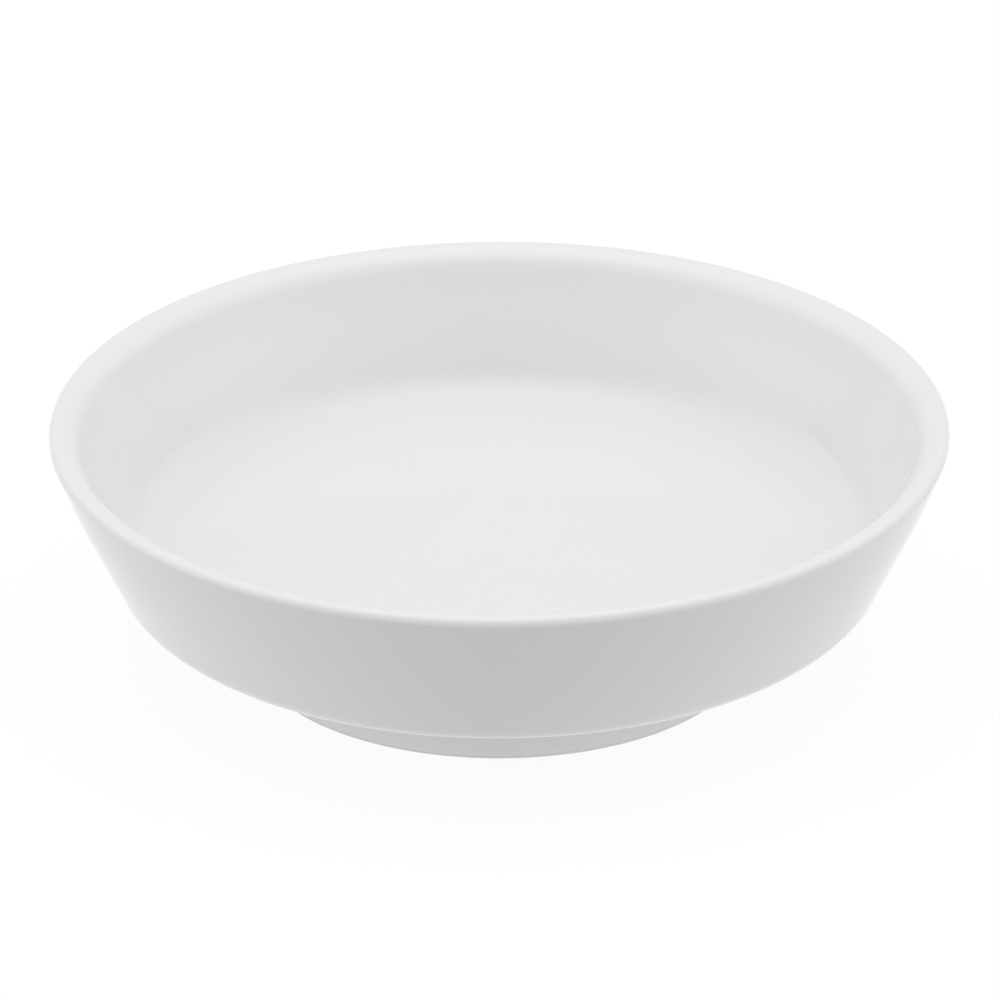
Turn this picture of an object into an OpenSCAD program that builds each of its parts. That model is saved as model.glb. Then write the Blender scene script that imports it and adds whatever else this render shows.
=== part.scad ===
// Small round condiment dish in glazed white porcelain.
// It has a flat floor, a flared wall that bends gently upright below a soft lip, a rounded
// knuckle low on the outside and a foot ring. Every piece is a solid of revolution about +Z,
// and the origin is the centre of the foot ring on the table.

/* [Wall and lip] */
// Diameter across the outside of the lip
rim_d = 90; // [82:1:110]
// Height from the table to the top of the lip
dish_h = 25; // [22.5:0.1:32]
// Thickness of the flared wall, measured square to its face
wall_t = 2.55; // [2.2:0.05:3.5]
// Lean of the wall away from upright below its bend, in degrees
wall_angle = 25.7; // [12:0.1:32]
// How much less the wall leans above its bend, in degrees
bend_turn_angle = 4.2; // [1:0.1:6]
// Drop from the top of the lip to the middle of the bend
bend_drop = 5.5; // [4.8:0.1:8]
// Radius of the bend on the outer face
bend_r = 50; // [20:1:70]
// Fall of the top of the lip towards the inside, in degrees
lip_fall_angle = 8; // [0:0.5:12]
// Radius of the lip on its outer side
lip_outer_r = 0.75; // [0.5:0.05:0.95]
// Radius of the lip on its inner side, which the thickness of the wall limits
lip_inner_r = 2.7; // [0.8:0.1:3.5]

/* [Floor] */
// Height of the floor above the table
floor_h = 11.2; // [9.5:0.1:14]
// Radius of the cove between the floor and the wall
cove_r = 5.2; // [1:0.1:9]

/* [Underside] */
// Height at which the faces of the wall and the underside would meet
knuckle_h = 8; // [7:0.1:9.2]
// Radius of the knuckle between the wall and the underside
knuckle_r = 4.5; // [1:0.1:8]
// Rise of the underside from the foot ring out to the knuckle, in degrees
underside_angle = 9; // [6:0.1:14]

/* [Foot ring] */
// Diameter of the foot ring over its glaze
foot_d = 50.5; // [44:0.1:60]
// Width of the foot ring at the table, over its glaze
foot_w = 3.2; // [2.4:0.1:5]
// Radius of the fillet between the foot ring and the underside
foot_fillet_r = 0.8; // [0.3:0.1:2]
// Radius of the edges that the foot ring stands on
foot_edge_r = 0.25; // [0.1:0.05:0.35]
// Height of the ceiling of the recess inside the foot ring
recess_h = 7.4; // [6.9:0.1:8.5]
// Lean of the recess wall, which narrows the recess upwards, in degrees
recess_angle = 5; // [0:0.5:12]
// Radius of the fillet round the ceiling of the recess
recess_fillet_r = 0.7; // [0.2:0.05:0.9]

/* [Glaze] */
// Thickness of the fired glaze
glaze_t = 0.2; // [0.1:0.02:0.3]
// Height of the bare strip that is wiped clean above the table
bare_h = 0.4; // [0.35:0.05:1.5]

/* [Hidden] */
$fn = 180;

// Widest step between the points of an arc, in degrees, and the fewest steps of an arc
arc_step_angle = 7.5;
arc_steps_min = 3;
foot_r = foot_d / 2;
recess_foot_r = foot_r - foot_w;
// Lean of the wall between its bend and the lip
upper_angle = wall_angle - bend_turn_angle;
// Directions up the wall, below and above its bend, and outwards along the top of the lip
wall_way = [sin(wall_angle), cos(wall_angle)];
upper_way = [sin(upper_angle), cos(upper_angle)];
lip_way = [cos(lip_fall_angle), sin(lip_fall_angle)];
// Centre of the outer round of the lip, and where it runs into the top and the outer face
lip_centre = [rim_d / 2 - lip_outer_r, dish_h - lip_outer_r];
lip_top = lip_centre + left_of(lip_way) * lip_outer_r;
outer_face = lip_centre - left_of(upper_way) * lip_outer_r;
inner_face = outer_face + left_of(upper_way) * wall_t;
// Corners of the bend in the two faces of the wall
bend_corner = at_height(outer_face, upper_way, dish_h - bend_drop);
inner_bend_corner =
    crossing(inner_face, upper_way, bend_corner + left_of(wall_way) * wall_t, wall_way);
knuckle_corner = at_height(bend_corner, wall_way, knuckle_h);
// Half of the angle between the top of the lip and the outer face
lip_half_angle = (90 - upper_angle - lip_fall_angle) / 2;
// Length of the top that the outer round leaves to the inner one, and the share it may take
lip_inner_room = wall_t / sin(2 * lip_half_angle) - lip_outer_r / tan(lip_half_angle);
lip_room_share = 0.97;
lip_inner_fit = min(lip_inner_r, lip_room_share * lip_inner_room / tan(lip_half_angle));

// Corners of the glazed section before rounding, from the recess outwards, over the lip and
// back to the centre of the floor. The clay lies to the left of the line.
corners = [
    [0, recess_h],
    [recess_foot_r - recess_h * tan(recess_angle), recess_h],
    [recess_foot_r, 0],
    [foot_r, 0],
    [foot_r, knuckle_h - (knuckle_corner[0] - foot_r) * tan(underside_angle)],
    knuckle_corner,
    bend_corner,
    crossing(lip_top, lip_way, outer_face, upper_way),
    crossing(lip_top, lip_way, inner_face, upper_way),
    inner_bend_corner,
    at_height(inner_bend_corner, wall_way, floor_h),
    [0, floor_h]
];
// Radius at each corner of the glazed face
glazed_radii = [
    0, recess_fillet_r, foot_edge_r, foot_edge_r, foot_fillet_r, knuckle_r,
    bend_r, lip_outer_r, lip_inner_fit, bend_r - wall_t, cove_r, 0
];
// Glaze on the edge that follows each corner: none under the foot and none on the axis
coats = [
    glaze_t, glaze_t, 0, glaze_t, glaze_t, glaze_t,
    glaze_t, glaze_t, glaze_t, glaze_t, glaze_t, 0
];
// Radius at each corner of the clay: less under glaze at an outer corner, more at an inner one
clay_radii = [
    0, recess_fillet_r + glaze_t, foot_edge_r, foot_edge_r, foot_fillet_r + glaze_t,
    knuckle_r - glaze_t, bend_r - glaze_t, lip_outer_r - glaze_t, lip_inner_fit - glaze_t,
    bend_r - wall_t + glaze_t, cove_r + glaze_t, 0
];
clay_corners = inset(corners, coats);
foot_corner_i = 4;
// The foot ring ends where its outer fillet runs out into the underside
seat_h = last_of(rounded_corner(clay_corners, clay_radii, foot_corner_i))[1];
// A place in the clay between the two coats of glaze
mid_ring_r = foot_r - foot_w / 2;
mid_base_h = (recess_h + floor_h) / 2;

function unit(v) = v / norm(v);
function left_of(v) = [-v[1], v[0]];
function last_of(list) = list[len(list) - 1];
function wrap(i, n) = (i + n) % n;

// Point where the line through p along u crosses the line through q along v
function crossing(p, u, q, v) = p + u * (cross(q - p, v) / cross(u, v));

// Point at height h on the line through p along u
function at_height(p, u, h) = p + u * (h - p[1]) / u[1];

// Outline moved towards its left, each edge by its own depth
function inset(points, depths) = [
    for (i = [0 : len(points) - 1])
        let (
            n = len(points),
            here = points[i],
            before = wrap(i - 1, n),
            u = unit(here - points[before]),
            v = unit(points[wrap(i + 1, n)] - here)
        )
        crossing(here + left_of(u) * depths[before], u, here + left_of(v) * depths[i], v)
];

// Points of the arc that rounds one corner of an outline
function rounded_corner(points, radii, i) =
    let (
        n = len(points),
        here = points[i],
        back = unit(points[wrap(i - 1, n)] - here),
        ahead = unit(points[wrap(i + 1, n)] - here),
        half = acos(back * ahead) / 2,
        centre = here + unit(back + ahead) * radii[i] / sin(half),
        spoke = here + back * radii[i] / tan(half) - centre,
        start_angle = atan2(spoke[1], spoke[0]),
        turn_angle = -sign(cross(back, ahead)) * (180 - 2 * half),
        steps = max(arc_steps_min, ceil(abs(turn_angle) / arc_step_angle))
    )
    radii[i] == 0 ? [here] : [
        for (k = [0 : steps])
            let (angle = start_angle + turn_angle * k / steps)
            centre + radii[i] * [cos(angle), sin(angle)]
    ];

function rounded(points, radii) = [
    for (i = [0 : len(points) - 1])
        each rounded_corner(points, radii, i)
];

// Half section of the fired clay, foot ring included
module clay_section() {
    polygon(rounded(clay_corners, clay_radii));
}

// Half section of all the glaze, which stops short of the table
module glaze_section() {
    difference() {
        polygon(rounded(corners, glazed_radii));
        clay_section();
        square([rim_d, bare_h]);
    }
}

// Half section of the space round the recess, which parts the two coats of glaze
module recess_zone() {
    square([mid_ring_r, mid_base_h]);
}

// Floor and wall in one, flat underneath where the foot ring is joined on
module dish_body() {
    color("ivory")
    rotate_extrude()
    difference() {
        clay_section();
        square([rim_d, seat_h]);
    }
}

// Ring that the dish stands on, bare along its ground edge
module foot_ring() {
    color("linen")
    rotate_extrude()
    intersection() {
        clay_section();
        square([rim_d, seat_h]);
    }
}

// One coat from the floor over the lip and down the outside to the wiped line on the foot
module main_glaze() {
    color("white")
    rotate_extrude()
    difference() {
        glaze_section();
        recess_zone();
    }
}

// Coat on the walls and the ceiling of the recess
module base_glaze() {
    color("whitesmoke")
    rotate_extrude()
    intersection() {
        glaze_section();
        recess_zone();
    }
}

dish_body();
foot_ring();
main_glaze();
base_glaze();
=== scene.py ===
"""Looks of a small white porcelain sauce dish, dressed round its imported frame.

Every piece of the dish is turned: a half section of arcs and straight runs is swept round the
axis by one Geometry Nodes tree. The finishes are node materials on Object coordinates, and the
studio is a light table inside a white tent. Lengths are in metres and angles in radians.
"""

import logging
import math
from dataclasses import dataclass
from enum import Enum, IntEnum

import bpy
from mathutils import Matrix, Vector


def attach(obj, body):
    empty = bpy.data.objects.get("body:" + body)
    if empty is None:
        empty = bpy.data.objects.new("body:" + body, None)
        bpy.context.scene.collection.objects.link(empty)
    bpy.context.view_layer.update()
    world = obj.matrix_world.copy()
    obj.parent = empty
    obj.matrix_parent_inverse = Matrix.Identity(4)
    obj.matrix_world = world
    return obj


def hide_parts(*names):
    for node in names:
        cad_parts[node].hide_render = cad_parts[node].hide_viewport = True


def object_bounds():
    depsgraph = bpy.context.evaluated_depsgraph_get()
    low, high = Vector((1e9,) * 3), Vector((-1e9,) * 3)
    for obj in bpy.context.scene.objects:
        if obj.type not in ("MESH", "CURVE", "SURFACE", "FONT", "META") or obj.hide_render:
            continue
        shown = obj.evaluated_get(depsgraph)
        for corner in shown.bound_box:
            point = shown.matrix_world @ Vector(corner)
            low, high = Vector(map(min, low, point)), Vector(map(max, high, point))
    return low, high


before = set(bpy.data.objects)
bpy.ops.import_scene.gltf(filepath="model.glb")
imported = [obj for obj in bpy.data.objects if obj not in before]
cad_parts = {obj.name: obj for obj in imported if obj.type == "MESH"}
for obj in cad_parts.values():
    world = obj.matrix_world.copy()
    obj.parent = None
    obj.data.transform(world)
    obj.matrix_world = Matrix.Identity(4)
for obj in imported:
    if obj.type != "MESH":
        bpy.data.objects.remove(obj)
cad_low, cad_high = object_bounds()

MM = 0.001
# Light that grazes the hollow wall is mirrored along it many times
GRAZING_BOUNCES = 24
# Attribute of the section's points that says how far each follows the wiped line
WANDER = "wander"
log = logging.getLogger("sauce_dish")


class Slot(Enum):
    """Material slots of the record."""

    CLAY = "clay"
    GLAZE = "glaze"


class Kind(Enum):
    """Kinds of value that a node works on, by Blender's names."""

    NUMBER = "FLOAT"
    COLOUR = "RGBA"
    PLACE = "FLOAT_VECTOR"


class Station(IntEnum):
    """Numbers of the corners along the half section, from the recess over the lip to the floor."""

    BASE_AXIS = 0
    RECESS_TOP = 1
    RECESS_EDGE = 2
    FOOT_EDGE = 3
    FOOT_FILLET = 4
    KNUCKLE = 5
    BEND = 6
    LIP_OUTER = 7
    LIP_INNER = 8
    INNER_BEND = 9
    COVE = 10
    FLOOR_AXIS = 11


def unit(v: Vector) -> Vector:
    """Direction of a vector."""
    return v.normalized()


def left_of(v: Vector) -> Vector:
    """Vector turned a quarter turn to the left."""
    return Vector((-v.y, v.x))


def cross(u: Vector, v: Vector) -> float:
    """Third component of the cross product of two flat vectors."""
    return u.x * v.y - u.y * v.x


def crossing(p: Vector, u: Vector, q: Vector, v: Vector) -> Vector:
    """Point where the line through p along u crosses the line through q along v."""
    return p + u * (cross(q - p, v) / cross(u, v))


def slope(lean: float) -> Vector:
    """Direction up a face that leans out from upright by an angle."""
    return Vector((math.sin(lean), math.cos(lean)))


def at_height(p: Vector, u: Vector, z: float) -> Vector:
    """Point at a height on the line through p along u."""
    return p + u * ((z - p.y) / u.y)


@dataclass(frozen=True)
class Corner:
    """One corner of a half section before it is rounded.

    Attributes:
        r: distance from the axis.
        z: height.
        radius: radius that rounds the corner.
        coat: how far the edge that follows moves inwards from the glazed face to the clay.
    """

    r: float
    z: float
    radius: float = 0.0
    coat: float = 0.0

    @property
    def at(self) -> Vector:
        """Place of the corner as a flat vector."""
        return Vector((self.r, self.z))


@dataclass(frozen=True)
class Outline:
    """Closed half section, with the solid to the left of its edges.

    Attributes:
        corners: the corners before rounding.
        arc_step: widest step between the points of an arc.
        arc_steps_min: fewest steps of an arc.
        clay_step: how many times wider the steps are on the clay, which the glaze hides all over
            but at the ground edge of the foot.
        clay_steps_min: fewest steps of an arc there.
        support: distance from an arc to the point that keeps the shading of a straight run flat.
        run_parts: parts into which two such points split a short straight run.
    """

    corners: tuple[Corner, ...]
    arc_step: float = math.radians(4.0)
    arc_steps_min: int = 6
    clay_step: int = 3
    clay_steps_min: int = 3
    support: float = 0.15 * MM
    run_parts: int = 3

    def edge(self, i: int) -> Vector:
        """Direction of the edge that follows corner i."""
        n = len(self.corners)
        return unit(self.corners[(i + 1) % n].at - self.corners[i % n].at)

    def inset(self) -> "Outline":
        """Outline of the clay under its coat of glaze.

        Returns:
            The outline with each edge moved inwards by its coat and each radius kept parallel.
        """
        moved = []
        for i, here in enumerate(self.corners):
            before = self.corners[i - 1]
            u, v = self.edge(i - 1), self.edge(i)
            start, end = here.at + left_of(u) * before.coat, here.at + left_of(v) * here.coat
            at = crossing(start, u, end, v)
            radius = here.radius
            if radius and before.coat and here.coat:
                radius -= math.copysign(here.coat, cross(u, v))
            moved.append(Corner(at.x, at.y, radius))
        return Outline(tuple(moved), self.clay_step * self.arc_step, self.clay_steps_min)

    def half_angle(self, i: int) -> float:
        """Half of the angle between the two edges that meet at corner i."""
        return (-self.edge(i - 1)).angle(self.edge(i)) / 2

    def reach(self, i: int) -> float:
        """Length of edge that the arc at corner i takes up on each side."""
        return self.corners[i % len(self.corners)].radius / math.tan(self.half_angle(i))

    def beside(self, i: int) -> float:
        """Distance from an arc to the support point on a straight run.

        Args:
            i: number of the corner that the run follows.

        Returns:
            The distance, which is less where the run is short.
        """
        n = len(self.corners)
        length = (self.corners[(i + 1) % n].at - self.corners[i % n].at).length
        straight = length - self.reach(i) - self.reach((i + 1) % n)
        return min(self.support, straight / self.run_parts)

    def arc(self, i: int) -> list[Vector]:
        """Points of the arc at a corner, with one point more on each straight run beside it.

        Args:
            i: number of the corner.

        Returns:
            The points in the order of the outline.
        """
        here = self.corners[i]
        if not here.radius:
            return [here.at]
        back, ahead = -self.edge(i - 1), self.edge(i)
        half, reach = self.half_angle(i), self.reach(i)
        centre = here.at + unit(back + ahead) * (here.radius / math.sin(half))
        spoke = here.at + back * reach - centre
        turn = -math.copysign(math.pi - 2 * half, cross(back, ahead))
        steps = max(self.arc_steps_min, math.ceil(abs(turn) / self.arc_step))
        start = math.atan2(spoke.y, spoke.x)
        points = [here.at + back * (reach + self.beside(i - 1))]
        for k in range(steps + 1):
            angle = start + turn * k / steps
            points.append(centre + here.radius * Vector((math.cos(angle), math.sin(angle))))
        points.append(here.at + ahead * (reach + self.beside(i)))
        return points

    def run(self, first: Station, last: Station) -> list[Vector]:
        """Points of all the arcs from one corner to a later one, both counted."""
        return [point for i in range(first, last + 1) for point in self.arc(i)]

    def on_edge(self, i: int, z: float) -> Vector:
        """Point at a height on the edge that follows corner i."""
        return at_height(self.corners[i].at, self.edge(i), z)


@dataclass(frozen=True)
class DishSizes:
    """Sizes of the dish with its glaze on. The rim and the height are the frame's.

    Attributes:
        rim_r: radius of the rim.
        height: height of the top of the lip.
        wall: thickness of the wall, square to its face.
        wall_lean: lean of the wall from upright below its bend.
        bend_turn: how much less the wall leans above its bend.
        bend_drop: drop from the top of the lip to the bend.
        bend_r: radius of the bend on the outer face.
        lip_fall: fall of the top of the lip towards the inside.
        lip_outer_r: radius of the lip on its outer side.
        lip_inner_r: radius of the lip on its inner side.
        floor_z: height of the floor.
        cove_r: radius of the cove between the floor and the wall.
        knuckle_z: height at which the wall and the underside would meet.
        knuckle_r: radius of the knuckle between them.
        underside_rise: rise of the underside from the foot ring outwards.
        foot_r: radius of the foot ring.
        foot_w: width of the foot ring at the table.
        foot_fillet_r: radius of the fillet between the foot ring and the underside.
        foot_edge_r: radius of the edges that the foot ring stands on.
        recess_z: height of the ceiling of the recess.
        recess_lean: lean of the recess wall, which narrows the recess upwards.
        recess_fillet_r: radius of the fillet round the ceiling.
        glaze: thickness of the glaze.
        bare_z: height of the strip that is wiped clean above the table.
    """

    rim_r: float
    height: float
    wall: float = 2.55 * MM
    wall_lean: float = math.radians(25.7)
    bend_turn: float = math.radians(4.2)
    bend_drop: float = 5.5 * MM
    bend_r: float = 50.0 * MM
    lip_fall: float = math.radians(8.0)
    lip_outer_r: float = 0.75 * MM
    lip_inner_r: float = 2.7 * MM
    floor_z: float = 11.2 * MM
    cove_r: float = 5.2 * MM
    knuckle_z: float = 8.0 * MM
    knuckle_r: float = 4.5 * MM
    underside_rise: float = math.radians(9.0)
    foot_r: float = 25.25 * MM
    foot_w: float = 3.2 * MM
    foot_fillet_r: float = 0.8 * MM
    foot_edge_r: float = 0.25 * MM
    recess_z: float = 7.4 * MM
    recess_lean: float = math.radians(5.0)
    recess_fillet_r: float = 0.7 * MM
    glaze: float = 0.2 * MM
    bare_z: float = 0.4 * MM

    def outline(self) -> Outline:
        """Half section over the glaze.

        Returns:
            The closed outline of the whole dish, with one corner at each station.
        """
        low, high = slope(self.wall_lean), slope(self.wall_lean - self.bend_turn)
        along = Vector((math.cos(self.lip_fall), math.sin(self.lip_fall)))
        crest = Vector((self.rim_r - self.lip_outer_r, self.height - self.lip_outer_r))
        top = crest + left_of(along) * self.lip_outer_r
        outer = crest - left_of(high) * self.lip_outer_r
        inner = outer + left_of(high) * self.wall
        lip_out, lip_in = crossing(top, along, outer, high), crossing(top, along, inner, high)
        bend = at_height(outer, high, self.height - self.bend_drop)
        inner_bend = crossing(inner, high, bend + left_of(low) * self.wall, low)
        knuckle = at_height(bend, low, self.knuckle_z)
        cove = at_height(inner_bend, low, self.floor_z)
        junction_z = self.knuckle_z - (knuckle.x - self.foot_r) * math.tan(self.underside_rise)
        recess_r = self.foot_r - self.foot_w
        recess_top_r = recess_r - self.recess_z * math.tan(self.recess_lean)
        g = self.glaze
        return Outline((
            Corner(0.0, self.recess_z, 0.0, g),
            Corner(recess_top_r, self.recess_z, self.recess_fillet_r, g),
            Corner(recess_r, 0.0, self.foot_edge_r, 0.0),
            Corner(self.foot_r, 0.0, self.foot_edge_r, g),
            Corner(self.foot_r, junction_z, self.foot_fillet_r, g),
            Corner(knuckle.x, knuckle.y, self.knuckle_r, g),
            Corner(bend.x, bend.y, self.bend_r, g),
            Corner(lip_out.x, lip_out.y, self.lip_outer_r, g),
            Corner(lip_in.x, lip_in.y, self.lip_inner_r, g),
            Corner(inner_bend.x, inner_bend.y, self.bend_r - self.wall, g),
            Corner(cove.x, cove.y, self.cove_r, g),
            Corner(0.0, self.floor_z, 0.0, 0.0),
        ))


@dataclass(frozen=True)
class WipedLine:
    """How the edge of a wiped coat of glaze wanders up and down round the foot.

    Attributes:
        depth: height over which it wanders.
        seed: seed of the noise that it follows.
        waves: radius of the circle that it draws through that noise, so that it closes.
    """

    depth: float = 0.0
    seed: float = 0.0
    waves: float = 2.2


@dataclass(frozen=True)
class Chain:
    """Run of section points that is swept round the axis.

    Attributes:
        points: places in the half plane, with the solid to the left.
        wander: how far each point follows the wiped line, from 0 to 1.
        closed: whether the last point runs on to the first, as it does away from the axis.
    """

    points: tuple[Vector, ...]
    wander: tuple[float, ...]
    closed: bool = False

    @classmethod
    def steady(cls, points: list[Vector], closed: bool = False) -> "Chain":
        """Chain of which no point follows a wiped line."""
        return cls(tuple(points), (0.0,) * len(points), closed)

    def section(self, name: str) -> bpy.types.Mesh:
        """Mesh of the points, with the wander as an attribute.

        Args:
            name: name of the mesh.

        Returns:
            The mesh, a row of vertices joined by edges.
        """
        points, wander = list(self.points), list(self.wander)
        if self.closed:
            points.append(points[0])
            wander.append(wander[0])
        edges = [(i, i + 1) for i in range(len(points) - 1)]
        mesh = bpy.data.meshes.new(name)
        mesh.from_pydata([(p.x, 0.0, p.y) for p in points], edges, [])
        mesh.attributes.new(WANDER, "FLOAT", "POINT").data.foreach_set("value", wander)
        return mesh


class Graph:
    """Adds nodes to a tree and joins their sockets."""

    def __init__(self, tree: bpy.types.NodeTree) -> None:
        """Keeps the tree."""
        self.tree = tree

    @classmethod
    def of(cls, owner: bpy.types.Material | bpy.types.World) -> "Graph":
        """Graph of a new material or world.

        Args:
            owner: the material or world, whose first nodes are cleared away.

        Returns:
            The graph.
        """
        owner.use_nodes = True
        owner.node_tree.nodes.clear()
        return cls(owner.node_tree)

    def add(self, kind: str, **settings: object) -> bpy.types.Node:
        """Adds a node.

        Args:
            kind: Blender's name of the node type.
            settings: properties of the node, by name.

        Returns:
            The new node.
        """
        node = self.tree.nodes.new(kind)
        for name, value in settings.items():
            setattr(node, name, value)
        return node

    def join(self, source: bpy.types.NodeSocket, target: bpy.types.NodeSocket) -> None:
        """Joins an output to an input."""
        self.tree.links.new(source, target)

    def feed(self, target: bpy.types.NodeSocket, value: object) -> None:
        """Gives an input its value.

        Args:
            target: the input.
            value: a socket, which is joined to it, or a plain value, which is set on it.
        """
        if isinstance(value, bpy.types.NodeSocket):
            self.join(value, target)
        else:
            target.default_value = value

    def math(self, operation: str, *values: object) -> bpy.types.NodeSocket:
        """Adds a Math node for shaders and geometry alike.

        Args:
            operation: what it does, such as ADD.
            values: its inputs, each a socket or a number.

        Returns:
            Its output.
        """
        node = self.add("ShaderNodeMath", operation=operation)
        for target, value in zip(node.inputs, values):
            self.feed(target, value)
        return node.outputs[0]

    def split(self, vector: bpy.types.NodeSocket) -> tuple[bpy.types.NodeSocket, ...]:
        """Splits a vector.

        Args:
            vector: the vector.

        Returns:
            Its three components.
        """
        node = self.add("ShaderNodeSeparateXYZ")
        self.join(vector, node.inputs[0])
        return tuple(node.outputs)

    def vector(self, *parts: bpy.types.NodeSocket) -> bpy.types.NodeSocket:
        """Puts a vector together.

        Args:
            parts: its three components.

        Returns:
            The vector.
        """
        node = self.add("ShaderNodeCombineXYZ")
        for target, part in zip(node.inputs, parts):
            self.join(part, target)
        return node.outputs[0]

    def grey(self, tone: bpy.types.NodeSocket) -> bpy.types.NodeSocket:
        """Makes a grey of a tone.

        Args:
            tone: the share of each of its three channels.

        Returns:
            The colour.
        """
        node = self.add("ShaderNodeCombineColor")
        for channel in node.inputs[:3]:
            self.join(tone, channel)
        return node.outputs[0]

    def ramp(self, value: bpy.types.NodeSocket, low: float, high: float) -> bpy.types.NodeSocket:
        """Adds a straight ramp from 0 to 1.

        Args:
            value: socket that it follows.
            low: value at which it is 0.
            high: value at which it is 1.

        Returns:
            Its output.
        """
        node = self.add("ShaderNodeMapRange")
        self.feed(node.inputs["Value"], value)
        self.feed(node.inputs["From Min"], low)
        self.feed(node.inputs["From Max"], high)
        return node.outputs[0]

    def spread(self, share: bpy.types.NodeSocket, low: float, high: float) -> bpy.types.NodeSocket:
        """Spreads a share from 0 to 1 over a range.

        Args:
            share: socket that it follows.
            low: what it gives at 0.
            high: what it gives at 1.

        Returns:
            Its output.
        """
        node = self.add("ShaderNodeMapRange")
        self.feed(node.inputs["Value"], share)
        self.feed(node.inputs["To Min"], low)
        self.feed(node.inputs["To Max"], high)
        return node.outputs[0]

    def noise(self, where: bpy.types.NodeSocket, size: float) -> bpy.types.NodeSocket:
        """Adds a noise.

        Args:
            where: coordinates that it follows.
            size: size of its features.

        Returns:
            Its value, from 0 to 1.
        """
        node = self.add("ShaderNodeTexNoise", noise_dimensions="3D")
        self.join(where, node.inputs["Vector"])
        self.feed(node.inputs["Scale"], 1 / size)
        return node.outputs[0]

    def blend(
        self, share: object, first: object, second: object, kind: Kind = Kind.NUMBER,
    ) -> bpy.types.NodeSocket:
        """Adds a mix of two numbers or colours.

        Args:
            share: how much of the second there is, from 0 to 1.
            first: a socket or a plain value.
            second: a socket or a plain value.
            kind: whether they are numbers or colours.

        Returns:
            Its output.
        """
        node = self.add("ShaderNodeMix", data_type=kind.value)
        for name, value in (("Factor", share), ("A", first), ("B", second)):
            self.feed(node.inputs[name], value)
        return node.outputs["Result"]

    def bump(
        self, height: bpy.types.NodeSocket, depth: float,
        under: bpy.types.NodeSocket | None = None,
    ) -> bpy.types.NodeSocket:
        """Adds a relief.

        Args:
            height: its height, from 0 to 1.
            depth: how deep it is.
            under: normal of the relief that it lies on, if any.

        Returns:
            The normal of the surface.
        """
        node = self.add("ShaderNodeBump")
        self.feed(node.inputs["Distance"], depth)
        self.join(height, node.inputs["Height"])
        if under is not None:
            self.join(under, node.inputs["Normal"])
        return node.outputs[0]


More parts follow.
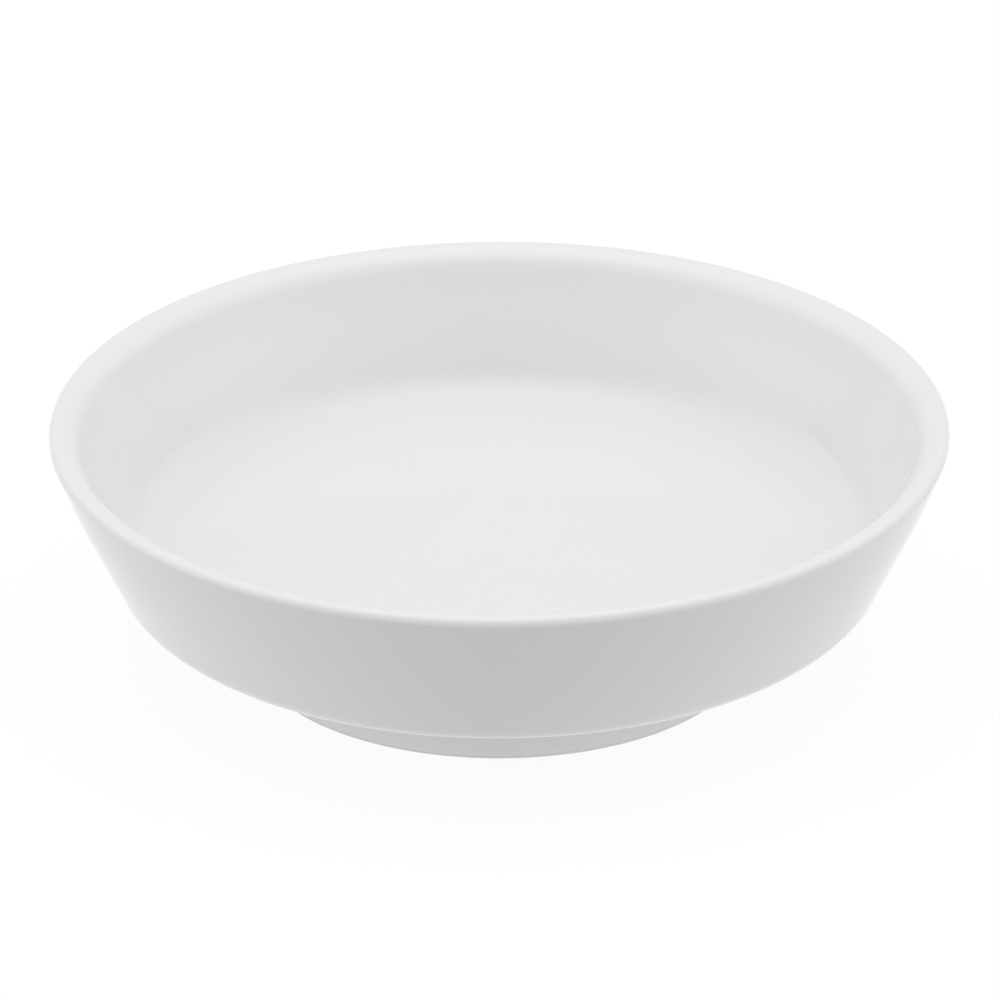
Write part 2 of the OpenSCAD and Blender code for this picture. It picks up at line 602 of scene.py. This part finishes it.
@dataclass
class Lathe:
    """Geometry Nodes tree that sweeps a half section round the axis.

    Attributes:
        steps: number of steps round the axis.
        merge_distance: distance within which points are merged, at the seam and at the poles.
        grid_side: side of the flat grid that is bent, which lies with its middle at the origin.
        noise_size: size of the features of the noise that a wiped line follows.
        noise_middle: mean of that noise.
    """

    steps: int = 480
    merge_distance: float = 0.0005 * MM
    grid_side: float = 1.0
    noise_size: float = 1.0
    noise_middle: float = 0.5

    def __post_init__(self) -> None:
        """Builds the tree and its named inputs."""
        self.tree = bpy.data.node_groups.new("turn_on_axis", "GeometryNodeTree")
        self.graph = Graph(self.tree)
        face = self.tree.interface
        face.new_socket("Section", in_out="INPUT", socket_type="NodeSocketGeometry")
        self.segments = self.named_input("Segments", "NodeSocketInt")
        self.depth = self.named_input("Line Wander", "NodeSocketFloat")
        self.waves = self.named_input("Line Waves", "NodeSocketFloat")
        self.seed = self.named_input("Seed", "NodeSocketFloat")
        self.finish = self.named_input("Finish", "NodeSocketMaterial")
        face.new_socket("Turned", in_out="OUTPUT", socket_type="NodeSocketGeometry")
        self.wire()

    def named_input(self, name: str, kind: str) -> str:
        """Adds a named input and gives its identifier."""
        socket = self.tree.interface.new_socket(name, in_out="INPUT", socket_type=kind)
        return socket.identifier

    def wire(self) -> None:
        """Joins the nodes: a grid is bent so that one of its sides follows the section."""
        g = self.graph
        given = g.add("NodeGroupInput").outputs
        count = g.add("GeometryNodeAttributeDomainSize")
        g.join(given["Section"], count.inputs["Geometry"])
        points = count.outputs["Point Count"]
        grid = g.add("GeometryNodeMeshGrid")
        g.feed(grid.inputs["Size X"], self.grid_side)
        g.feed(grid.inputs["Size Y"], self.grid_side)
        g.join(g.math("ADD", given["Segments"], 1), grid.inputs["Vertices X"])
        g.join(points, grid.inputs["Vertices Y"])
        bend = g.add("GeometryNodeSetPosition")
        g.join(grid.outputs["Mesh"], bend.inputs["Geometry"])
        g.join(self.place(given, points), bend.inputs["Position"])
        self.dress(given, bend.outputs["Geometry"])

    def place(
        self, given: bpy.types.bpy_prop_collection, points: bpy.types.NodeSocket,
    ) -> bpy.types.NodeSocket:
        """Place round the axis of each point of the grid.

        Args:
            given: inputs of the tree.
            points: number of points of the section.

        Returns:
            The place.
        """
        g = self.graph
        flat = g.add("GeometryNodeInputPosition").outputs[0]
        x, y, _ = g.split(flat)
        angle = g.math("MULTIPLY", g.math("ADD", x, self.grid_side / 2), math.tau)
        share = g.math("ADD", y, self.grid_side / 2)
        row = g.math("ROUND", g.math("MULTIPLY", share, g.math("SUBTRACT", points, 1)))
        cosine, sine = g.math("COSINE", angle), g.math("SINE", angle)
        reach, _, height = g.split(self.sample(given["Section"], row, flat, Kind.PLACE))
        lifted = g.math("ADD", height, self.lift(given, row, cosine, sine))
        return g.vector(g.math("MULTIPLY", reach, cosine), g.math("MULTIPLY", reach, sine), lifted)

    def lift(
        self, given: bpy.types.bpy_prop_collection, row: bpy.types.NodeSocket,
        cosine: bpy.types.NodeSocket, sine: bpy.types.NodeSocket,
    ) -> bpy.types.NodeSocket:
        """Height that the wiped line adds at a point.

        Args:
            given: inputs of the tree.
            row: number of the point on the section.
            cosine: cosine of the angle round the axis.
            sine: sine of that angle.

        Returns:
            The height.
        """
        g = self.graph
        x = g.math("MULTIPLY", cosine, given["Line Waves"])
        y = g.math("MULTIPLY", sine, given["Line Waves"])
        noise = g.noise(g.vector(x, y, given["Seed"]), self.noise_size)
        swing = g.math("SUBTRACT", noise, self.noise_middle)
        named = g.add("GeometryNodeInputNamedAttribute", data_type="FLOAT")
        named.inputs["Name"].default_value = WANDER
        share = self.sample(given["Section"], row, named.outputs["Attribute"], Kind.NUMBER)
        return g.math("MULTIPLY", g.math("MULTIPLY", swing, given["Line Wander"]), share)

    def sample(
        self, section: bpy.types.NodeSocket, row: bpy.types.NodeSocket,
        value: bpy.types.NodeSocket, kind: Kind,
    ) -> bpy.types.NodeSocket:
        """Reads a value at one point of the section.

        Args:
            section: the section.
            row: number of the point.
            value: what is read there.
            kind: whether it is a number or a place.

        Returns:
            The value.
        """
        g = self.graph
        node = g.add("GeometryNodeSampleIndex", data_type=kind.value, domain="POINT")
        g.join(section, node.inputs["Geometry"])
        g.join(value, node.inputs["Value"])
        g.join(row, node.inputs["Index"])
        return node.outputs["Value"]

    def dress(self, given: bpy.types.bpy_prop_collection, bent: bpy.types.NodeSocket) -> None:
        """Closes the seam and the poles, shades the piece smooth and gives it its finish.

        Args:
            given: inputs of the tree.
            bent: the bent grid.
        """
        g = self.graph
        close = g.add("GeometryNodeMergeByDistance")
        g.feed(close.inputs["Distance"], self.merge_distance)
        g.join(bent, close.inputs["Geometry"])
        smooth = g.add("GeometryNodeSetShadeSmooth")
        g.join(close.outputs["Geometry"], smooth.inputs["Geometry"])
        real = g.add("GeometryNodeRealizeInstances")
        g.join(smooth.outputs["Geometry"], real.inputs["Geometry"])
        finished = g.add("GeometryNodeSetMaterial")
        g.join(real.outputs["Geometry"], finished.inputs["Geometry"])
        g.join(given["Finish"], finished.inputs["Material"])
        g.join(finished.outputs["Geometry"], g.add("NodeGroupOutput").inputs[0])

    def turn(
        self, name: str, chain: Chain, finish: bpy.types.Material, line: WipedLine,
    ) -> bpy.types.Object:
        """Sweeps a chain round the axis.

        Args:
            name: name of the piece.
            chain: section to sweep.
            finish: material of the piece.
            line: how its wiped line wanders.

        Returns:
            The piece as a plain mesh.
        """
        section = chain.section(name)
        piece = bpy.data.objects.new(name, section)
        bpy.context.scene.collection.objects.link(piece)
        sweep = piece.modifiers.new("turn", "NODES")
        sweep.node_group = self.tree
        sweep[self.segments] = self.steps
        sweep[self.depth] = line.depth
        sweep[self.waves] = line.waves
        sweep[self.seed] = line.seed
        sweep[self.finish] = finish
        shaped = piece.evaluated_get(bpy.context.evaluated_depsgraph_get())
        whole = bpy.data.meshes.new_from_object(shaped)
        piece.modifiers.clear()
        piece.data = whole
        whole.name = name
        # The grid of the tree leaves an empty slot before the finish
        while whole.materials and whole.materials[0] is None:
            whole.materials.pop(index=0)
        bpy.data.meshes.remove(section)
        return piece


@dataclass(frozen=True)
class GlazeFinish:
    """Clear glaze over white porcelain: glossy, faintly rippled, with a few pin-head specks.

    Attributes:
        name: name of the material.
        white: tone of the porcelain.
        tone_swing: share by which the tone drifts.
        drift_size: size of that drift.
        ior: refractive index of the glaze.
        roughness: lowest and highest roughness.
        cloud_size: size of the patches of roughness.
        ripple: depth of the fine ripple.
        ripple_size: size of the ripple.
        swell: depth of the slow swell under it.
        swell_size: size of the swell.
        speck_r: radius of a speck.
        speck_core: share of that radius that is fully dark.
        speck_pitch: size of the cells that may hold a speck.
        speck_share: share of the cells that hold one.
        speck_tone: tone of a speck.
        speck_cover: how much of the white a speck hides.
    """

    name: str = "porcelain_glaze"
    white: float = 0.80
    tone_swing: float = 0.008
    drift_size: float = 14.0 * MM
    ior: float = 1.5
    roughness: tuple[float, float] = (0.045, 0.075)
    cloud_size: float = 6.0 * MM
    ripple: float = 0.0016 * MM
    ripple_size: float = 1.4 * MM
    swell: float = 0.006 * MM
    swell_size: float = 9.0 * MM
    speck_r: float = 0.11 * MM
    speck_core: float = 0.35
    speck_pitch: float = 2.2 * MM
    speck_share: float = 0.12
    speck_tone: float = 0.30
    speck_cover: float = 0.42

    def material(self) -> bpy.types.Material:
        """Builds the node material.

        Returns:
            The material.
        """
        made = bpy.data.materials.new(self.name)
        g = Graph.of(made)
        where = g.add("ShaderNodeTexCoord").outputs["Object"]
        shader = g.add("ShaderNodeBsdfPrincipled")
        shader.inputs["IOR"].default_value = self.ior
        gloss = g.spread(g.noise(where, self.cloud_size), *self.roughness)
        g.join(self.colour(g, where), shader.inputs["Base Color"])
        g.join(gloss, shader.inputs["Roughness"])
        g.join(self.relief(g, where), shader.inputs["Normal"])
        g.join(shader.outputs[0], g.add("ShaderNodeOutputMaterial").inputs["Surface"])
        return made

    def colour(self, g: Graph, where: bpy.types.NodeSocket) -> bpy.types.NodeSocket:
        """White with a faint drift of tone, and the specks.

        Args:
            g: graph of the material.
            where: coordinates that it follows.

        Returns:
            The colour.
        """
        darkest, lightest = self.white * (1 - self.tone_swing), self.white * (1 + self.tone_swing)
        tone = g.spread(g.noise(where, self.drift_size), darkest, lightest)
        cover = g.math("MULTIPLY", self.specks(g, where), self.speck_cover)
        speck = (self.speck_tone, self.speck_tone, self.speck_tone, 1.0)
        return g.blend(cover, g.grey(tone), speck, Kind.COLOUR)

    def specks(self, g: Graph, where: bpy.types.NodeSocket) -> bpy.types.NodeSocket:
        """Mask of the specks, each a soft dot in one cell.

        Args:
            g: graph of the material.
            where: coordinates that it follows.

        Returns:
            The mask, 1 in the middle of a speck.
        """
        cells = g.add("ShaderNodeTexVoronoi")
        g.join(where, cells.inputs["Vector"])
        g.feed(cells.inputs["Scale"], 1 / self.speck_pitch)
        dot = g.add("ShaderNodeMapRange", interpolation_type="SMOOTHSTEP")
        g.join(cells.outputs["Distance"], dot.inputs["Value"])
        g.feed(dot.inputs["From Min"], self.speck_core * self.speck_r / self.speck_pitch)
        g.feed(dot.inputs["From Max"], self.speck_r / self.speck_pitch)
        g.feed(dot.inputs["To Min"], 1.0)
        g.feed(dot.inputs["To Max"], 0.0)
        pick = g.add("ShaderNodeSeparateColor")
        g.join(cells.outputs["Color"], pick.inputs[0])
        chosen = g.math("LESS_THAN", pick.outputs[0], self.speck_share)
        return g.math("MULTIPLY", dot.outputs[0], chosen)

    def relief(self, g: Graph, where: bpy.types.NodeSocket) -> bpy.types.NodeSocket:
        """Fine ripple over a slow swell.

        Args:
            g: graph of the material.
            where: coordinates that it follows.

        Returns:
            The normal of the surface.
        """
        swell = g.bump(g.noise(where, self.swell_size), self.swell)
        return g.bump(g.noise(where, self.ripple_size), self.ripple, swell)


@dataclass(frozen=True)
class ClayFinish:
    """Fired porcelain clay without glaze: dry, matte and finely ground.

    Attributes:
        name: name of the material.
        tone: colour of the clay.
        swing: shares of that colour in the darkest and the lightest grain.
        ior: refractive index of the clay.
        roughness: roughness of the clay.
        grain: size of a grain.
        grain_depth: depth of the grain.
    """

    name: str = "bare_clay"
    tone: tuple[float, float, float] = (0.78, 0.775, 0.76)
    swing: tuple[float, float] = (0.9, 1.06)
    ior: float = 1.5
    roughness: float = 0.85
    grain: float = 0.22 * MM
    grain_depth: float = 0.012 * MM

    def material(self) -> bpy.types.Material:
        """Builds the node material.

        Returns:
            The material.
        """
        made = bpy.data.materials.new(self.name)
        g = Graph.of(made)
        where = g.add("ShaderNodeTexCoord").outputs["Object"]
        shader = g.add("ShaderNodeBsdfPrincipled")
        shader.inputs["Roughness"].default_value = self.roughness
        shader.inputs["IOR"].default_value = self.ior
        grain = g.noise(where, self.grain)
        dark, light = [(*[share * c for c in self.tone], 1.0) for share in self.swing]
        g.join(g.blend(grain, dark, light, Kind.COLOUR), shader.inputs["Base Color"])
        g.join(g.bump(grain, self.grain_depth), shader.inputs["Normal"])
        g.join(shader.outputs[0], g.add("ShaderNodeOutputMaterial").inputs["Surface"])
        return made


@dataclass
class Dish:
    """The turned pieces: clay body, foot ring, main coat and base coat of glaze.

    Attributes:
        sizes: sizes of the dish.
        lathe: what turns the pieces.
        glaze: material of the two coats.
        clay: material of the body and the foot ring.
        main_line: wiped line outside the foot ring.
        base_line: wiped line inside it.
        steady_rise: height, in bare strips, from which a coat no longer follows its line.
        roll_steps: steps of the round end of a coat.
    """

    sizes: DishSizes
    lathe: Lathe
    glaze: bpy.types.Material
    clay: bpy.types.Material
    main_line: WipedLine = WipedLine(0.16 * MM, 3.0)
    base_line: WipedLine = WipedLine(0.2 * MM, 7.0)
    steady_rise: float = 3.0
    roll_steps: int = 6

    def __post_init__(self) -> None:
        """Works out the glazed outline, the clay outline and the seat of the foot ring."""
        self.over = self.sizes.outline()
        self.under = self.over.inset()
        # The seat lies where the outer fillet of the foot ring runs out into the underside
        self.seat, self.seat_beside = self.under.arc(Station.FOOT_FILLET)[-2:]
        self.seat_inside = self.under.on_edge(Station.RECESS_TOP, self.seat.y)

    def wiped_end(self, i: Station) -> list[Vector]:
        """Round end of a coat on the foot ring.

        Args:
            i: corner that the edge with the end follows.

        Returns:
            The points from the face of the glaze round its end to the clay. All but the first
            and the last follow the wiped line.
        """
        s = self.sizes
        steady_z = self.steady_rise * s.bare_z
        skin = self.over.on_edge(i, s.bare_z + s.glaze)
        clay = self.under.on_edge(i, s.bare_z)
        out, down = skin.x - clay.x, clay.y - skin.y
        roll = []
        for k in range(1, self.roll_steps):
            angle = math.pi / 2 * k / self.roll_steps
            roll.append(Vector((clay.x + out * math.cos(angle), skin.y + down * math.sin(angle))))
        steady, steady_clay = self.over.on_edge(i, steady_z), self.under.on_edge(i, steady_z)
        return [steady, skin, *roll, clay, steady_clay]

    def coat(self, before: list[Vector], end: list[Vector], after: list[Vector]) -> Chain:
        """Section of a coat, which follows the wiped line only at its end.

        Args:
            before: points before the end.
            end: points of the end, in either order of wiped_end.
            after: points after the end.

        Returns:
            The section.
        """
        following = (1.0,) * (len(end) - 2)
        wander = (*(0.0,) * (len(before) + 1), *following, *(0.0,) * (len(after) + 1))
        return Chain((*before, *end, *after), wander)

    def main_coat(self) -> Chain:
        """Section of the coat from the wiped line on the foot over the lip to the axis.

        Returns:
            The section.
        """
        first, last = Station.FOOT_FILLET, Station.FLOOR_AXIS
        end = self.wiped_end(Station.FOOT_EDGE)
        return self.coat(self.under.run(first, last)[::-1], end[::-1], self.over.run(first, last))

    def base_coat(self) -> Chain:
        """Section of the coat in the recess, from the axis out to its own wiped line.

        Returns:
            The section.
        """
        first, last = Station.BASE_AXIS, Station.RECESS_TOP
        end = self.wiped_end(Station.RECESS_TOP)
        return self.coat(self.over.run(first, last), end, self.under.run(first, last)[::-1])

    def ring(self) -> Chain:
        """Section of the foot ring up to its seat under the body."""
        outside = self.under.run(Station.RECESS_EDGE, Station.FOOT_FILLET)[:-1]
        return Chain.steady([self.seat_inside, *outside], closed=True)

    def body(self) -> Chain:
        """Section of the clay above the seat of the foot ring.

        Returns:
            The section.
        """
        ceiling = self.under.run(Station.BASE_AXIS, Station.RECESS_TOP)
        rest = self.under.run(Station.KNUCKLE, Station.FLOOR_AXIS)
        return Chain.steady([*ceiling, self.seat_inside, self.seat, self.seat_beside, *rest])

    def make(
        self, name: str, chain: Chain, slot: Slot, node: str, line: WipedLine = WipedLine(),
    ) -> None:
        """Turns one piece and sets it in the frame.

        Args:
            name: name of the piece.
            chain: its half section.
            slot: the record's slot that it takes its finish from.
            node: the CAD node that it stands for.
            line: how its wiped line wanders.
        """
        finish = self.glaze if slot is Slot.GLAZE else self.clay
        piece = self.lathe.turn(name, chain, finish, line)
        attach(piece, "root")
        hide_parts(node)
        log.info("%s: %d faces", name, len(piece.data.polygons))

    def build(self) -> None:
        """Makes the four pieces."""
        self.make("clay_body", self.body(), Slot.CLAY, "dish_body")
        self.make("clay_foot_ring", self.ring(), Slot.CLAY, "foot_ring")
        self.make("glaze_coat", self.main_coat(), Slot.GLAZE, "main_glaze", self.main_line)
        self.make("glaze_in_recess", self.base_coat(), Slot.GLAZE, "base_glaze", self.base_line)


@dataclass(frozen=True)
class Tent:
    """Soft light of a white tent, by the direction that it comes from.

    Near the level the tent is as white as the floor. Above that its side walls are brighter than
    its ends, and the roof is brightest. Strengths are those of the world's background.

    Attributes:
        level: strength near the level.
        ends: strength of the walls in front and behind.
        sides: strength of the walls to the left and the right.
        roof: strength straight above.
        wall_z: heights on the unit sphere between which the level runs into the walls.
        roof_z: heights between which the walls run into the roof.
        upright: small square that keeps the share of the sides defined straight above.
    """

    level: float = 1.0
    ends: float = 0.85
    sides: float = 1.53
    roof: float = 2.06
    wall_z: tuple[float, float] = (0.10, 0.30)
    roof_z: tuple[float, float] = (0.80, 1.0)
    upright: float = 1e-6

    def build(self) -> None:
        """Makes the world of the scene."""
        world = bpy.data.worlds.new("white_tent")
        bpy.context.scene.world = world
        g = Graph.of(world)
        x, y, z = g.split(g.add("ShaderNodeTexCoord").outputs["Generated"])
        xx, yy = g.math("MULTIPLY", x, x), g.math("MULTIPLY", y, y)
        sideways = g.math("DIVIDE", xx, g.math("ADD", g.math("ADD", xx, yy), self.upright))
        wall = g.blend(sideways, self.ends, self.sides)
        walled = g.blend(g.ramp(z, *self.wall_z), self.level, wall)
        glow = g.add("ShaderNodeBackground")
        g.join(g.blend(g.ramp(z, *self.roof_z), walled, self.roof), glow.inputs["Strength"])
        g.join(glow.outputs[0], g.add("ShaderNodeOutputWorld").inputs["Surface"])


@dataclass(frozen=True)
class Floor:
    """Light table: an opal sheet that glows from below and is seen as plain white.

    Attributes:
        tone: colour of the sheet.
        seen: glow that the camera, reflections and glass see.
        glow: glow that lights the dish from below.
        dim: how much weaker that glow is on a wedge of the sheet in front of the dish.
        dim_run: how far inside the wedge the dimming begins and is complete.
        gap: how far the sheet lies below the foot, so that no two faces share a plane.
        half_side: half of the length of the sheet.
    """

    tone: float = 0.10
    seen: float = 0.905
    glow: float = 0.61
    dim: float = 0.42
    dim_run: tuple[float, float] = (20.0 * MM, 100.0 * MM)
    gap: float = 0.01 * MM
    half_side: float = 4.0

    def fill(self, g: Graph) -> bpy.types.NodeSocket:
        """Glow that lights the dish, weaker on the wedge in front.

        Args:
            g: graph of the material.

        Returns:
            The strength.
        """
        x, y, _ = g.split(g.add("ShaderNodeTexCoord").outputs["Object"])
        ahead = g.math("SUBTRACT", g.math("MULTIPLY", y, -1.0), g.math("ABSOLUTE", x))
        return g.blend(g.ramp(ahead, *self.dim_run), self.glow, self.glow - self.dim)

    def material(self) -> bpy.types.Material:
        """Builds the node material, which can't be seen from below.

        Returns:
            The material.
        """
        made = bpy.data.materials.new("opal_sheet")
        g = Graph.of(made)
        matte = g.add("ShaderNodeBsdfDiffuse")
        matte.inputs["Color"].default_value = (self.tone, self.tone, self.tone, 1.0)
        ray = g.add("ShaderNodeLightPath").outputs
        seen = g.math("MAXIMUM", ray["Is Camera Ray"], ray["Is Glossy Ray"])
        seen = g.math("MAXIMUM", seen, ray["Is Transmission Ray"])
        light = g.add("ShaderNodeEmission")
        g.join(g.blend(seen, self.fill(g), self.seen), light.inputs["Strength"])
        lit = g.add("ShaderNodeAddShader")
        g.join(matte.outputs[0], lit.inputs[0])
        g.join(light.outputs[0], lit.inputs[1])
        sheet = g.add("ShaderNodeMixShader")
        g.join(g.add("ShaderNodeNewGeometry").outputs["Backfacing"], sheet.inputs[0])
        g.join(lit.outputs[0], sheet.inputs[1])
        g.join(g.add("ShaderNodeBsdfTransparent").outputs[0], sheet.inputs[2])
        g.join(sheet.outputs[0], g.add("ShaderNodeOutputMaterial").inputs["Surface"])
        return made

    def build(self) -> None:
        """Makes the floor."""
        h, z = self.half_side, -self.gap
        mesh = bpy.data.meshes.new("floor")
        mesh.from_pydata([(-h, -h, z), (h, -h, z), (h, h, z), (-h, h, z)], [], [(0, 1, 2, 3)])
        mesh.materials.append(self.material())
        floor = bpy.data.objects.new("floor", mesh)
        bpy.context.scene.collection.objects.link(floor)


@dataclass(frozen=True)
class Camera:
    """Camera at the angle and the distance of the photograph.

    Attributes:
        elevation: how far it looks down.
        roll: how far it is turned round its own axis.
        distance: distance from the place that it looks at.
        aim: that place.
        lens: focal length in millimetres.
        sensor: width of the sensor in millimetres.
        clip_end: farthest distance that it sees.
    """

    elevation: float = math.radians(25.331)
    roll: float = math.radians(-0.183)
    distance: float = 1194.8 * MM
    aim: tuple[float, float, float] = (0.051 * MM, 0.0, 16.505 * MM)
    lens: float = 429.27
    sensor: float = 36.0
    clip_end: float = 20.0

    def build(self) -> None:
        """Makes the camera and sets it."""
        data = bpy.data.cameras.new("camera")
        data.sensor_width = self.sensor
        data.lens = self.lens
        data.clip_end = self.clip_end
        camera = bpy.data.objects.new("camera", data)
        bpy.context.scene.collection.objects.link(camera)
        back = Vector((0.0, -math.cos(self.elevation), math.sin(self.elevation)))
        camera.location = Vector(self.aim) + back * self.distance
        upright = Matrix.Rotation(math.pi / 2 - self.elevation, 3, "X")
        camera.rotation_euler = (upright @ Matrix.Rotation(self.roll, 3, "Z")).to_euler()
        bpy.context.scene.camera = camera


def main() -> None:
    """Builds the studio and the dish."""
    logging.basicConfig(level=logging.INFO, format="%(name)s: %(message)s")
    view = bpy.context.scene
    view.view_settings.view_transform = "Standard"
    view.cycles.max_bounces = GRAZING_BOUNCES
    view.cycles.glossy_bounces = GRAZING_BOUNCES
    Camera().build()
    Floor().build()
    Tent().build()
    rim_r = min(cad_high.x, cad_high.y, -cad_low.x, -cad_low.y)
    sizes = DishSizes(rim_r=rim_r, height=cad_high.z)
    Dish(sizes, Lathe(), GlazeFinish().material(), ClayFinish().material()).build()


if __name__ == "__main__":
    main()
